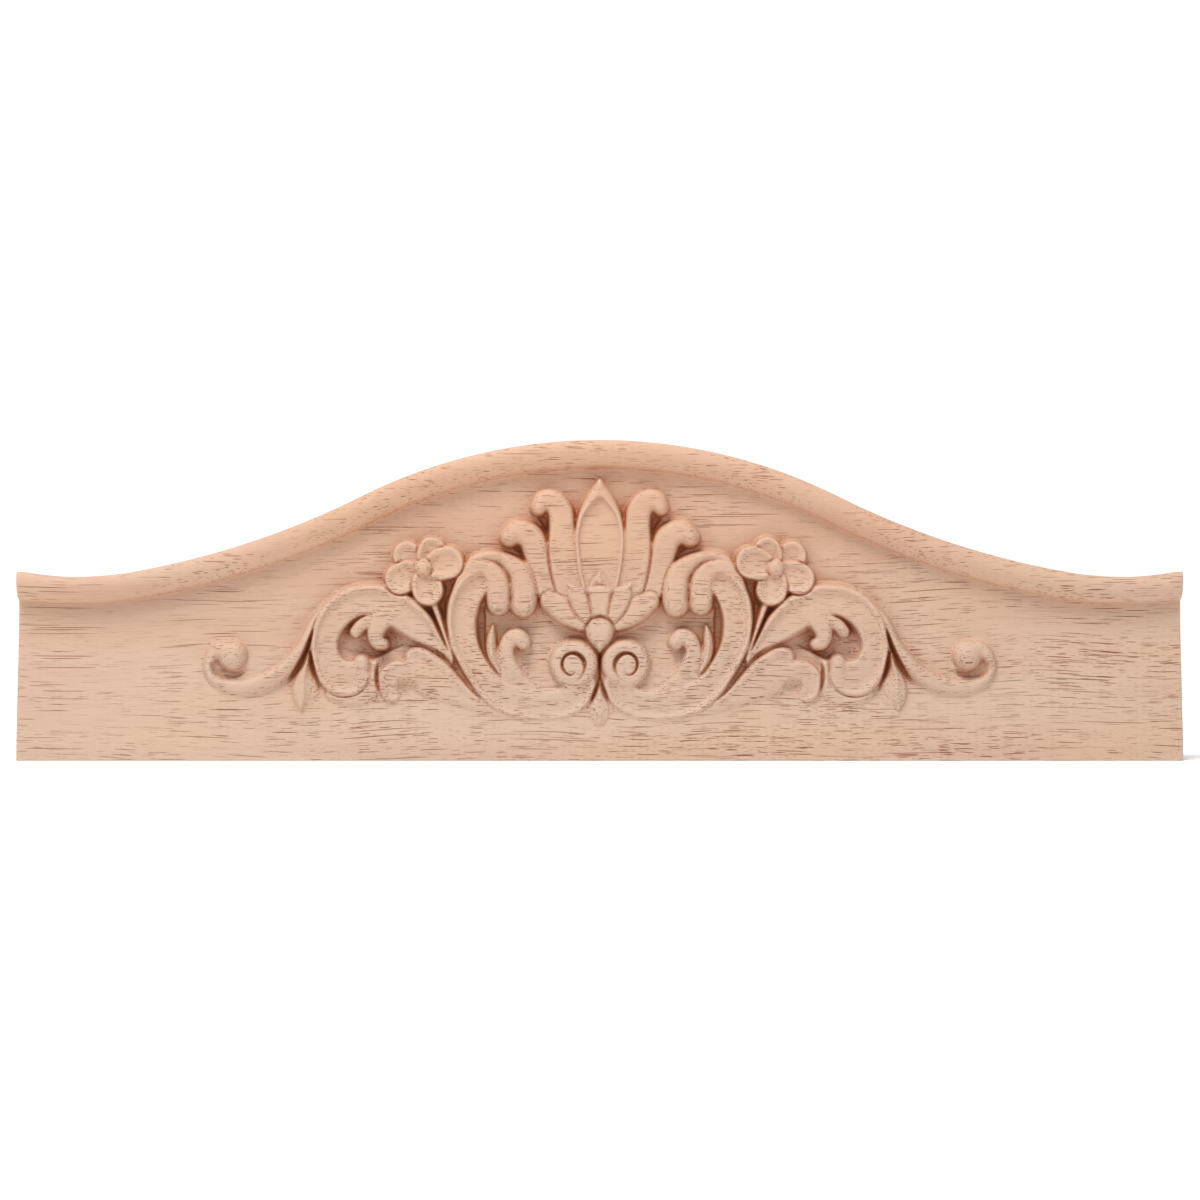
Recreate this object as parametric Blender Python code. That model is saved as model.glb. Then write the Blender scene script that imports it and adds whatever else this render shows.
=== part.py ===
"""Carved headpiece: one board of pale wood with an arched, moulded top edge and, on its front, a
symmetric relief of scrolls, acanthus leaves, two five-petal flowers and a palmette.

Sizes are in millimetres, and the mesh is turned into metres as it is made. X runs along the board
from its middle, Y from the front to the back, and Z up from the flat foot. The carving is worked
out for the right half as a height over the deep ground of the front, and then mirrored."""

import math

import bpy
import numpy as np

MM = 0.001

# The board
LENGTH = 400.0
HEIGHT = 110.0
THICKNESS = 18.0
RELIEF = 6.0                          # from the deep ground out to the front plane

# The arched top edge: a crown, a hollow flank and a tighter tip, each an arc that runs into the next
CROWN_RADIUS = 182.5
CROWN_TURN = math.radians(26.5)
FLANK_RADIUS = 292.0
FLANK_TURN = math.radians(10.4)
TIP_RADIUS = 115.0

# The moulding under the top edge, measured square to the edge
MOULD_CREST = 2.8
MOULD_FOOT = 9.6
MOULD_FILLET = 1.6
MOULD_CORNER = 3.4
MOULD_DROP = 1.8

# The ground rises in a ramp from its deep part to a flush strip at the foot
RAMP_TOP = 47.5
RAMP_FOOT = 5.5

# The carver's cuts
WALL = 6.0                            # steepness of a limb's sides
SOFT_WALL = 1.2                       # the same where a limb runs out into the ground
FILLET = 0.8                          # height over which two surfaces flow together
SOFT_FILLET = 1.6
CREASE = 1.8                          # depth of the line cut round a limb that lies on another
DEEP_CREASE = 2.6
SEPAL_CREASE = 1.9
CREASE_SLOPE = 3.0
CUT_SLOPE = 9.0                       # steepness of the sides of a knife cut
REACH = 6.0                           # how far outside a limb its cuts are worked out
CURVE_STEPS = 8

# The surface across a limb, below its top, from one edge to the other
RIM = (0.0, -0.1, -0.7, -1.5, -1.5, -0.7, -0.1, 0.0)
DISH = (0.0, -0.4, -0.6, -0.4, 0.0)
DOME = (-0.8, -0.2, 0.0, -0.2, -0.8)
RIDGE = (-0.9, -0.5, 0.0, -0.5, -0.9)
SHARP_RIDGE = (-1.3, -0.8, 0.0, -0.8, -1.3)
BUD_FACETS = (-1.3, -0.6, 0.0, -0.9, -1.6, -2.2)

# The mesh
CELL = 0.8
TRIANGLES = 9600

WOOD = (0.62, 0.43, 0.32, 1.0)
WOOD_ROUGHNESS = 0.6


def top_edge(x):
    """Height of the arched top edge."""
    x = np.abs(x)
    crown_end = CROWN_RADIUS * math.sin(CROWN_TURN)
    flank_x = crown_end + FLANK_RADIUS * math.sin(CROWN_TURN)
    flank_z = HEIGHT - CROWN_RADIUS + (CROWN_RADIUS + FLANK_RADIUS) * math.cos(CROWN_TURN)
    flank_end = flank_x - FLANK_RADIUS * math.sin(FLANK_TURN)
    tip_x = flank_end + TIP_RADIUS * math.sin(FLANK_TURN)
    tip_z = flank_z - (FLANK_RADIUS - TIP_RADIUS) * math.cos(FLANK_TURN)
    crown = HEIGHT - CROWN_RADIUS + np.sqrt(np.maximum(CROWN_RADIUS**2 - x**2, 0))
    flank = flank_z - np.sqrt(np.maximum(FLANK_RADIUS**2 - (x - flank_x) ** 2, 0))
    tip = tip_z - np.sqrt(np.maximum(TIP_RADIUS**2 - (x - tip_x) ** 2, 0))
    return np.where(x < crown_end, crown, np.where(x < flank_end, flank, tip))


def soft_max(a, b, fillet):
    """The higher of two heights, with a fillet where they meet."""
    near = np.clip(fillet - np.abs(a - b), 0, None) / fillet
    return np.maximum(a, b) + near * near * fillet / 4


def quarter_round(inside, radius):
    """Drop of a rounded edge, from how far inside the edge a point lies."""
    short = np.clip(radius - inside, 0, radius)
    return np.sqrt(radius**2 - short**2) - radius


def ground(x, z):
    """The front before the carving: the moulding, the deep ground and the ramp down to the foot."""
    ramp = RELIEF * np.clip((RAMP_TOP - z) / (RAMP_TOP - RAMP_FOOT), 0, 1)
    slope = top_edge(x + 0.5) - top_edge(x - 0.5)
    inside = (top_edge(x) - z) / np.sqrt(1 + slope**2)
    down = np.clip((inside - MOULD_CREST) / (MOULD_FOOT - MOULD_CREST), 0, 1)
    corner = quarter_round(inside, MOULD_CORNER) * MOULD_DROP / MOULD_CORNER
    moulding = RELIEF * np.sqrt(1 - down**2) + corner
    return soft_max(ramp, moulding, MOULD_FILLET)


def curve(points):
    """A smooth curve through the points, as finer rows with the same columns."""
    p = np.array(points, float)
    p = np.vstack([2 * p[0] - p[1], p, 2 * p[-1] - p[-2]])
    t = np.linspace(0, 1, CURVE_STEPS, endpoint=False)[:, None]
    rows = []
    for a, b, c, d in zip(p[:-3], p[1:-2], p[2:-1], p[3:]):
        bend = (2 * a - 5 * b + 4 * c - d) * t**2 + (3 * b - a - 3 * c + d) * t**3
        rows.append(0.5 * (2 * b + (c - a) * t + bend))
    return np.vstack(rows + [p[-2:-1]])


def along_curve(values, share):
    """Reads evenly spaced values smoothly, at shares from 0 to 1 of the way."""
    if np.isscalar(values):
        return np.full(np.shape(share), float(values))
    line = curve([(value, 0.0) for value in values])[:, 0]
    return np.interp(share, np.linspace(0, 1, len(line)), line)


class Relief:
    """The height of the carved front at a set of points."""

    def __init__(self, x, z):
        self.x = x
        self.z = z
        self.bare = ground(x, z)
        self.height = self.bare.copy()

    def place(self, route):
        """For each point near a route of (x, z, half-width) rows: its index, how far it lies outside
        the limb's edge, its side (-1 left of the travel to 1 right), half-width and share along."""
        line = curve(route)
        wide = line[:, 2].max() + REACH
        low, high = line[:, :2].min(0) - wide, line[:, :2].max(0) + wide
        near = (self.x > low[0]) & (self.x < high[0]) & (self.z > low[1]) & (self.z < high[1])
        index = np.flatnonzero(near)
        px, pz = self.x.flat[index], self.z.flat[index]
        outside = np.full(len(index), np.inf)
        side, half, share = np.zeros(len(index)), np.ones(len(index)), np.zeros(len(index))
        for i, ((ax, az, aw), (bx, bz, bw)) in enumerate(zip(line[:-1], line[1:])):
            dx, dz = bx - ax, bz - az
            length = math.hypot(dx, dz) + 1e-9
            t = np.clip(((px - ax) * dx + (pz - az) * dz) / length**2, 0, 1)
            ox, oz = px - ax - dx * t, pz - az - dz * t
            away = np.hypot(ox, oz)
            width = aw + (bw - aw) * t
            closer = away - width < outside
            outside = np.where(closer, away - width, outside)
            side = np.where(closer, (dz * ox - dx * oz) / (length * (away + 1e-9)), side)
            half = np.where(closer, width, half)
            share = np.where(closer, (i + t) / (len(line) - 1), share)
        return index, outside, side, np.maximum(half, 0.01), share

    def limb(self, route, top, across=0.0, end=None, edge=1.2, left=WALL, right=WALL,
             fillet=FILLET, crease=CREASE, grown=False):
        """Carves a limb over what is there. top is its height, edge the radius of its rounded
        edges, left and right the steepness of its sides and crease the depth of the line cut round
        it; each is one value, or several along the way. across and end give the surface from its
        left to its right side, at the start and at the end. A grown limb rises out of what is
        there, with no line round it."""
        index, outside, side, half, share = self.place(route)
        reach = np.clip(1 + outside / half, 0, 1)
        leftness = (1 - side) / 2

        def surface(values):
            on_left = along_curve(values, (1 - reach) / 2)
            on_right = along_curve(values, (1 + reach) / 2)
            return leftness * on_left + (1 - leftness) * on_right

        form = surface(across)
        if end is not None:
            form = form * (1 - share) + surface(end) * share
        form = form + quarter_round(-outside, np.minimum(along_curve(edge, share), half))
        crest = along_curve(top, share)
        steep = along_curve(left, share) * leftness + along_curve(right, share) * (1 - leftness)
        new = crest + form - steep * np.maximum(outside, 0)
        old = self.height.flat[index]
        if grown:
            self.height.flat[index] = soft_max(new, old, fillet)
            return
        line_cut = np.minimum(old, crest - along_curve(crease, share) + CREASE_SLOPE * outside)
        inside = soft_max(new, self.bare.flat[index], fillet)
        beside = soft_max(new, line_cut, fillet)
        self.height.flat[index] = np.where(outside <= 0, inside, beside)

    def hollow(self, route, depth, slope):
        """Cuts a flat-bottomed hollow along a route, to a depth below the front plane."""
        index, outside, _, _, share = self.place(route)
        floor = RELIEF - along_curve(depth, share) + slope * np.maximum(outside, 0)
        self.height.flat[index] = np.minimum(self.height.flat[index], floor)


def tendril(limb, hollow):
    """The long tendril that ends in a ball."""
    limb([(88.9, 55.8, 2.1), (96.4, 48.2, 2.4), (102.2, 38.0, 2.6), (110.0, 29.4, 3.2),
          (119.5, 25.4, 3.4), (126.8, 25.0, 3.1), (132.2, 27.4, 2.4), (134.6, 31.6, 1.9),
          (133.4, 35.8, 2.4), (130.6, 38.4, 3.0), (127.4, 39.0, 3.0)],
         (5.6, 5.3, 5.0, 4.4, 4.4, 4.8), (-0.4, 0.0, 0.0, -0.4, -1.0), 0.0,
         edge=(1.6, 2.2, 2.6, 2.2, 2.6), left=(3.0, 3.0, 3.0, 4.0, 6.0),
         right=(6.0, 4.0, 1.0, 0.6, 1.2), crease=(1.5, 0.0, 0.0))
    hollow([(132.6, 33.0, 0.6), (131.0, 30.8, 1.3), (128.2, 29.6, 0.9), (125.0, 29.2, 0.5),
            (121.8, 30.6, 0.3), (120.2, 33.0, 0.1)], (3.6, 4.8, 5.2, 5.4, 4.4, 3.6), 2.0)
    limb([(126.6, 36.0, 6.0), (126.5, 36.0, 6.0)], 6.0, edge=5.6, left=6.0, right=6.0, grown=True)


def leaf(limb, hollow):
    """The acanthus leaf that runs out along the foot, with its curled lobes."""
    soft = {"left": SOFT_WALL, "right": 0.9, "fillet": SOFT_FILLET}
    limb([(77.4, 33.5, 1.2), (77.3, 28.5, 1.9), (78.0, 24.2, 2.7), (81.6, 22.0, 3.2),
          (87.0, 21.6, 3.2), (92.0, 22.8, 2.4)], 4.9, edge=2.4, crease=0.0, **soft)
    limb([(30.0, 15.0, 0.5), (36.0, 17.2, 2.8), (45.0, 21.2, 4.4), (54.0, 25.6, 5.6),
          (61.0, 29.4, 6.0), (65.0, 31.0, 4.6)], 4.8, edge=3.0, crease=0.0, **soft)
    limb([(56.0, 23.4, 3.6), (61.5, 26.6, 3.6), (65.6, 29.6, 3.6), (69.4, 30.6, 3.6),
          (72.4, 28.2, 3.6), (72.4, 24.2, 3.2), (71.0, 22.4, 2.6)], (4.2, 4.8, 5.4, 5.4, 5.2),
         0.0, (0.0, 0.0, -0.7, -0.9, -0.7, -0.5), edge=(2.0, 1.6, 1.0, 1.0, 1.6),
         left=(1.2, 1.2, 4.0, 4.0, 1.0), right=SOFT_WALL, grown=True)
    hollow([(75.4, 34.0, 0.05), (76.4, 31.5, 0.15), (76.5, 27.5, 0.15), (75.6, 23.6, 0.1),
            (74.2, 20.6, 0.05)], (2.6, 3.6, 3.4, 2.4, 1.0), 4.0)
    limb([(37.0, 17.6, 1.4), (43.8, 20.4, 2.6), (50.2, 25.0, 4.0), (56.2, 30.0, 4.9),
          (61.2, 33.8, 4.5), (63.0, 35.0, 3.6)], 5.5, (0.0, 0.0, -0.6, -0.8, -0.8, -0.8),
         edge=(1.2, 1.2, 1.0), left=4.0, right=SOFT_WALL, grown=True)
    hollow([(62.2, 24.4, 0.2), (64.6, 24.8, 0.7), (67.0, 25.2, 0.8)], (1.4, 2.8, 3.2), 0.8)


def arch(limb, hollow):
    """The S-scroll that arches over, and the hooks that hang in the pocket inside it."""
    hollow([(85.4, 46.6, 1.8), (86.0, 41.0, 3.0), (80.5, 38.5, 3.2), (74.0, 41.0, 3.4),
            (67.0, 41.8, 1.8)], (6.8, 5.0, 6.0, 6.8, 5.0), 3.0)
    limb([(51.0, 33.6, 0.3), (53.0, 37.3, 1.0), (55.6, 40.0, 2.4), (59.0, 43.4, 3.9),
          (63.5, 47.3, 5.3), (68.6, 51.2, 5.9), (74.5, 54.2, 5.7), (80.0, 55.1, 5.1),
          (84.8, 54.1, 5.1), (89.2, 51.3, 5.1), (92.6, 46.9, 4.8), (94.4, 41.4, 4.6),
          (94.2, 36.2, 4.8), (92.4, 31.6, 5.5), (89.3, 28.6, 6.2), (86.0, 28.2, 6.0),
          (83.6, 29.4, 4.8)],
         (5.6, 5.8, 5.8, 5.7, 5.4, 5.2), (0.0, 0.0, -1.0, -1.4, -1.3, -1.2, -1.2, -1.1, -1.0),
         (0.0, 0.0, -0.8, -0.9, -0.8, -0.8, -0.7, -0.7, -0.7), edge=(1.0, 1.2, 1.2, 1.2), left=4.0,
         right=(2.0, 2.0, 3.0, 6.0, 6.0))
    limb([(82.4, 27.5, 3.4), (81.9, 31.0, 3.2), (81.8, 33.4, 3.0)], (4.6, 5.2, 5.4),
         edge=2.8, left=3.0, right=3.0, grown=True)
    limb([(74.6, 49.8, 1.2), (78.4, 48.5, 1.9), (81.8, 46.5, 2.2), (83.8, 44.2, 2.1)],
         (4.4, 5.0, 5.2), edge=(0.6, 1.6, 2.1), grown=True)
    limb([(68.5, 49.6, 2.0), (72.5, 49.6, 3.2), (75.6, 47.2, 3.3), (77.0, 43.4, 2.9),
          (76.2, 40.6, 2.5), (74.4, 40.0, 2.0)], (4.2, 5.2, 5.4, 5.2),
         edge=(0.6, 1.4, 2.0, 2.0), grown=True)


def bud(limb, hollow):
    """The ridged bud between the tendril and the arch, and the deep wedges on either side of it."""
    hollow([(98.4, 45.0, 0.05), (99.6, 41.0, 0.15), (101.2, 36.8, 0.3), (104.0, 31.6, 0.35),
            (106.6, 27.4, 0.35), (108.4, 24.4, 0.1)], (2.5, 5.6, 6.2, 5.4, 3.8, 1.2), CUT_SLOPE)
    hollow([(105.6, 27.6, 0.6), (108.0, 24.8, 1.4), (110.6, 22.6, 0.4)], (2.4, 2.8, 1.0), 1.0)
    hollow([(99.6, 37.5, 0.2), (99.0, 33.5, 0.3), (97.9, 29.5, 0.3), (96.2, 25.4, 0.25),
            (94.6, 22.4, 0.05)], (5.0, 6.0, 5.2, 3.6, 1.2), CUT_SLOPE)
    limb([(99.9, 36.0, 0.2), (100.7, 31.8, 1.3), (101.2, 27.7, 3.0), (100.9, 24.4, 4.4),
          (101.2, 22.0, 4.0), (101.9, 19.8, 2.4), (102.4, 17.0, 0.3)],
         (4.8, 5.8, 6.0, 6.0), BUD_FACETS, edge=0.5, left=(4.0, 3.0, 1.4), right=(4.0, 3.0, 1.4),
         crease=(1.0, 0.5, 0.0))


def side_petals(limb, hollow):
    """The two long petals on one side of the palmette, dished along the stalk and knobbed on top."""
    hollow([(30.4, 73.2, 0.2), (27.4, 72.8, 0.8), (25.6, 69.8, 0.2)], (6.4, 7.4, 6.8), 3.0)
    hollow([(21.4, 84.0, 0.2), (19.2, 82.4, 0.8), (17.4, 78.0, 0.2)], (6.4, 7.4, 6.8), 3.0)
    limb([(15.6, 54.5, 3.8), (18.2, 60.0, 3.9), (20.0, 65.0, 3.9), (21.4, 70.0, 4.4),
          (23.6, 76.4, 4.6), (28.2, 78.6, 4.3), (31.0, 76.7, 3.7)],
         (4.8, 5.0, 5.2, 5.5, 5.7), DISH, DOME, edge=(1.2, 1.4, 2.4, 3.6), crease=DEEP_CREASE)
    limb([(9.7, 57.0, 4.6), (11.5, 64.0, 4.9), (12.7, 72.2, 4.9), (12.9, 79.8, 4.4),
          (13.4, 85.2, 4.3), (15.9, 88.9, 3.9), (19.2, 89.2, 3.6), (21.0, 86.9, 2.9)],
         (5.0, 5.2, 5.4, 5.6, 5.8), DISH, DOME, edge=(1.2, 1.4, 2.0, 2.9), crease=DEEP_CREASE)


def middle_scroll(limb, hollow):
    """The C-scroll: its two curled fingers, its volute, and the leaves that stand in its hollow."""
    limb([(45.5, 66.0, 1.4), (43.3, 69.0, 1.4), (39.0, 70.4, 1.5), (34.2, 69.6, 2.0),
          (30.4, 67.4, 3.0), (27.3, 64.2, 4.0), (26.2, 59.5, 4.5), (25.9, 55.4, 4.6),
          (26.3, 53.6, 4.5)], (5.5, 5.6, 5.7, 5.9, 5.9), edge=(1.4, 2.0, 3.4, 4.4))
    limb([(40.2, 62.6, 3.4), (42.8, 60.2, 4.6), (46.0, 55.5, 5.2), (47.4, 48.8, 5.0),
          (46.9, 42.0, 4.8), (44.5, 35.9, 4.6), (41.4, 30.4, 4.6), (37.4, 25.2, 5.0),
          (32.7, 21.7, 5.6), (26.5, 19.7, 5.8), (19.7, 19.0, 5.8), (13.5, 19.6, 5.8),
          (8.7, 22.2, 5.8), (6.0, 26.3, 5.1)],
         (5.9, 5.9, 5.8, 5.6, 5.4), (0.0, 0.0, -1.1, -1.6, -1.6, -1.5, -1.3, -1.0, -0.6),
         (0.0, 0.0, -0.6, -0.4, -0.3, -0.3, -0.4, -0.8, -1.6), edge=(1.2, 1.2, 1.6, 2.4, 2.4),
         left=(6.0, 6.0, 3.0, 0.7, 0.6), right=(6.0, 6.0, 3.0, 1.0, 0.8),
         crease=(1.8, 1.8, 1.8, 0.0, 0.0, 0.0))
    limb([(50.9, 52.0, 0.8), (49.6, 57.5, 1.1), (47.6, 62.0, 1.5), (45.0, 65.4, 2.0),
          (41.3, 66.6, 2.4), (37.6, 65.2, 3.3), (35.4, 62.2, 4.0), (34.8, 58.5, 4.2),
          (34.8, 55.6, 4.2), (34.7, 54.0, 4.1)], (4.8, 5.7, 5.9, 5.9, 5.9),
         edge=(0.8, 1.2, 3.0, 4.0), grown=True)
    limb([(20.6, 21.4, 2.6), (27.0, 25.2, 3.9), (30.8, 29.8, 4.0), (32.2, 34.6, 3.2),
          (32.2, 38.6, 2.8), (30.6, 41.6, 2.8), (28.0, 42.4, 2.9), (26.3, 40.6, 2.8)],
         (4.2, 4.8, 5.1, 5.3, 5.4), (0.0, -0.1, -0.4, -0.7, -0.7), 0.0,
         edge=(1.2, 1.6, 2.0, 2.8), left=(0.8, 1.0, 2.0, 6.0, 6.0), grown=True)
    hollow([(40.4, 52.6, 0.5), (40.7, 48.0, 1.2), (40.5, 42.0, 1.0), (39.4, 37.4, 0.5),
            (37.0, 32.6, 0.2), (34.0, 28.9, 0.1)], (6.8, 7.0, 6.8, 5.8, 4.0, 2.4), CUT_SLOPE)
    limb([(36.6, 46.4, 0.2), (37.1, 43.0, 1.3), (37.3, 39.0, 1.7), (36.6, 34.8, 1.5),
          (34.4, 30.0, 0.4)], (4.6, 5.4, 5.6, 5.2), SHARP_RIDGE, edge=0.5)
    limb([(8.9, 33.0, 8.3), (8.8, 33.1, 8.3)], 5.6, edge=2.4, left=1.6, right=1.6, grown=True)
    hollow([(14.5, 27.5, 0.05), (11.0, 26.4, 0.05), (7.5, 27.4, 0.05), (5.3, 29.5, 0.15),
            (4.8, 32.2, 0.25), (5.6, 35.0, 0.3), (8.0, 36.8, 0.15), (10.7, 36.9, 0.25),
            (12.8, 35.3, 0.2), (13.4, 32.7, 0.1), (12.4, 30.4, 0.05), (10.6, 29.3, 0.05),
            (8.9, 29.6, 0.05), (8.2, 30.6, 0.05)],
           (0.4, 1.2, 2.2, 3.4, 3.4, 3.2, 2.2, 1.0), 5.0)
    hollow([(65.0, 40.4, 0.05), (61.0, 40.0, 0.1), (57.8, 38.8, 0.1), (55.0, 37.0, 0.15),
            (52.8, 35.0, 0.2), (50.4, 32.2, 0.3), (47.6, 28.7, 0.25), (44.7, 25.0, 0.2),
            (41.6, 22.0, 0.15), (39.2, 20.1, 0.05)], (2.4, 3.6, 4.6, 5.2, 4.6, 3.6, 1.0), CUT_SLOPE)
    hollow([(0.0, 37.5, 0.25), (0.0, 33.0, 0.15), (0.0, 28.5, 0.1), (1.0, 25.0, 0.15),
            (2.2, 21.8, 0.2), (3.2, 18.8, 0.05)], (6.5, 6.0, 5.5, 4.5, 2.5), CUT_SLOPE)


def flower(limb, hollow):
    """A flower of five dished petals round a ball, on a thin stem between two deep cuts."""
    middle_x, middle_z = 60.4, 66.1
    petals = [(5.6, 4.2, 4.9, 4.8), (-2.8, 6.0, 4.6, 5.0), (8.0, -3.8, 5.3, 5.3),
              (-1.4, -7.6, 5.3, 5.3), (-8.2, 1.8, 5.5, 5.6)]
    hollow([(65.4, 58.0, 0.3), (62.4, 55.6, 0.5), (59.0, 52.8, 0.9), (56.9, 49.4, 0.5),
            (55.2, 45.2, 0.25), (53.4, 41.0, 0.15), (51.8, 37.4, 0.1)],
           (5.5, 7.0, 7.0, 6.5, 5.5), CUT_SLOPE)
    hollow([(52.8, 61.4, 0.3), (53.8, 58.0, 1.0), (54.4, 54.5, 1.1), (54.0, 49.5, 0.7),
            (52.9, 44.0, 0.4), (51.6, 39.0, 0.2), (50.5, 35.6, 0.15)],
           (5.5, 7.0, 7.0, 6.5, 5.5), CUT_SLOPE)
    limb([(57.4, 55.0, 1.1), (56.0, 51.0, 0.95), (54.6, 47.0, 0.8), (52.8, 41.8, 0.6),
          (51.3, 37.4, 0.45), (50.4, 34.6, 0.3)], (4.4, 4.8, 5.0), edge=0.6, crease=0.0)
    for out_x, out_z, half_width, petal_top in petals:
        stations = [(0.35, 0.6), (0.7, 0.95), (1.0, 1.0)]
        petal = [(middle_x + s * out_x, middle_z + s * out_z, w * half_width) for s, w in stations]
        limb(petal, (petal_top - 0.6, petal_top + 0.2), RIM, edge=1.1, crease=DEEP_CREASE)
    limb([(middle_x, middle_z, 3.3), (middle_x + 0.1, middle_z, 3.3)], 6.0, edge=3.2)


def palmette(limb, hollow):
    """The pointed petal in the middle, its calyx, the drop and the leaf between the two volutes."""
    limb([(0.0, 96.4, 0.02), (0.0, 93.4, 2.1), (0.0, 90.3, 4.0), (0.0, 87.2, 5.7),
          (0.0, 84.1, 7.0), (0.0, 81.0, 7.8), (0.0, 76.0, 8.3), (0.0, 70.5, 7.9),
          (0.0, 65.4, 7.2), (0.0, 58.5, 5.6)], 6.0, edge=(3.0, 3.0, 2.6, 1.0, 0.6, 0.5),
         crease=DEEP_CREASE)
    hollow([(0.0, 90.2, 0.02), (0.0, 87.9, 1.8), (0.0, 85.4, 3.5), (0.0, 82.9, 5.1),
            (0.0, 80.4, 6.3), (0.0, 76.0, 7.0), (0.0, 70.5, 6.6), (0.0, 65.4, 5.9),
            (0.0, 58.5, 4.3)], (1.4, 1.3, 1.1), 2.4)
    limb([(17.3, 54.9, 3.3), (13.4, 52.4, 4.2), (9.9, 49.8, 3.8), (6.3, 47.0, 2.3)],
         (5.2, 5.5, 5.5, 5.2), edge=(2.0, 2.0, 1.4), left=3.5)
    limb([(9.2, 57.8, 1.9), (7.7, 56.2, 3.2), (6.2, 52.5, 3.0), (4.4, 49.0, 2.0)], 5.6, edge=1.3,
         crease=SEPAL_CREASE)
    limb([(10.6, 60.3, 0.4), (8.6, 59.0, 1.0), (5.8, 58.5, 1.0)], 5.8, edge=0.6, grown=True)
    limb([(0.0, 64.7, 0.1), (0.0, 61.6, 2.4), (0.0, 58.5, 3.9)], 5.7, RIDGE, edge=0.3,
         crease=SEPAL_CREASE)
    limb([(0.0, 56.6, 3.7), (0.0, 53.0, 3.2), (0.0, 48.9, 2.5)], 5.8, edge=1.3, crease=SEPAL_CREASE)
    limb([(0.0, 58.5, 1.0), (3.2, 58.5, 1.0)], 6.0, edge=0.6, grown=True)
    limb([(0.0, 24.6, 0.2), (0.0, 20.8, 1.7), (0.0, 17.1, 3.2), (0.0, 14.3, 2.4),
          (0.0, 11.9, 0.2)], 5.9, SHARP_RIDGE, edge=0.5, left=(4.0, 1.2, 0.8), right=(4.0, 1.2, 0.8),
         crease=(1.8, 1.0, 0.0))
    limb([(0.0, 44.6, 5.2), (0.0, 42.0, 3.8), (0.0, 37.6, 0.2)], (5.9, 5.8, 5.2), edge=4.2,
         crease=SEPAL_CREASE)


def carved_height(x, z):
    """Height of the finished front over the deep ground, for points with x of 0 or more."""
    relief = Relief(x, z)
    for motif in (tendril, leaf, arch, bud, side_petals, middle_scroll, flower, palmette):
        motif(relief.limb, relief.hollow)
    return np.minimum(relief.height, RELIEF)


def front_grid():
    """The front as rows of points from the foot up to the arched edge, mirrored about the middle."""
    columns = round(LENGTH / 2 / CELL)
    rows = round(HEIGHT / CELL)
    x, share = np.meshgrid(np.linspace(0, LENGTH / 2, columns + 1), np.linspace(0, 1, rows + 1))
    z = share * top_edge(x)
    y = RELIEF - THICKNESS / 2 - carved_height(x, z)
    right = np.stack([x, y, z], axis=-1)
    left = right[:, :0:-1] * (-1, 1, 1)
    return np.concatenate([left, right], axis=1)


def board_mesh(name):
    """Closes the front with the foot, the ends, the top edge and a flat back."""
    grid = front_grid()
    rows, columns = grid.shape[:2]
    index = np.arange(rows * columns).reshape(rows, columns)
    border = np.concatenate([index[0], index[1:, -1], index[-1, -2::-1], index[-2:0:-1, 0]])
    front = grid.reshape(-1, 3)
    back = front[border] * (1, 0, 1) + (0, THICKNESS / 2, 0)
    corners = (index[:-1, :-1], index[:-1, 1:], index[1:, 1:], index[1:, :-1])
    faces = np.stack(corners, axis=-1).reshape(-1, 4).tolist()
    behind = len(front) + np.arange(len(border))
    faces += np.stack([border, behind, np.roll(behind, -1), np.roll(border, -1)], axis=-1).tolist()
    faces.append(behind[::-1].tolist())
    mesh = bpy.data.meshes.new(name)
    mesh.from_pydata((np.vstack([front, back]) * MM).tolist(), [], faces)
    mesh.update()
    return mesh


def wood():
    """Bare pale wood."""
    material = bpy.data.materials.new("pale_wood")
    material.use_nodes = True
    shader = material.node_tree.nodes["Principled BSDF"]
    shader.inputs["Base Color"].default_value = WOOD
    shader.inputs["Roughness"].default_value = WOOD_ROUGHNESS
    return material


def thinned(mesh):
    """The mesh with few triangles, which gather where the carving bends. Thinning can lift a corner
    a little above the front plane, so each one is brought back to it."""
    dense = bpy.data.objects.new("dense_board", mesh)
    bpy.context.scene.collection.objects.link(dense)
    mesh.calc_loop_triangles()
    thin = dense.modifiers.new("thin", "DECIMATE")
    thin.ratio = TRIANGLES / len(mesh.loop_triangles)
    thin.use_symmetry = True
    thin.symmetry_axis = "X"
    evaluated = dense.evaluated_get(bpy.context.evaluated_depsgraph_get())
    light = bpy.data.meshes.new_from_object(evaluated)
    bpy.data.objects.remove(dense, do_unlink=True)
    corners = np.empty(len(light.vertices) * 3)
    light.vertices.foreach_get("co", corners)
    corners[1::3] = np.clip(corners[1::3], -THICKNESS / 2 * MM, THICKNESS / 2 * MM)
    light.vertices.foreach_set("co", corners)
    light.update()
    return light


def headpiece():
    """The carved board."""
    mesh = thinned(board_mesh("carved_headpiece"))
    mesh.materials.append(wood())
    mesh.shade_smooth()
    mesh.set_sharp_from_angle(angle=math.radians(40))
    board = bpy.data.objects.new("carved_headpiece", mesh)
    bpy.context.scene.collection.objects.link(board)
    return board


for old in list(bpy.data.objects):
    bpy.data.objects.remove(old, do_unlink=True)
headpiece()
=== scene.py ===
# %% [markdown]
# A carved headpiece in pale wood
#
# This is the ornament that crowns the front of a cabinet or a mirror: one board of pale, fine wood
# with an arched and moulded top edge, and a relief of scrolls, leaves, flowers and a palmette that a
# copying router roughs out and a hand finishes. The board is already packed as a solid with its true
# size. This lesson keeps that size and makes the surface that the eye sees: the relief again on a
# much finer grid, the softened edges, and the wood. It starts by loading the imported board, which
# stays where it is for the rest of the file.

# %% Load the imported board
import math

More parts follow.
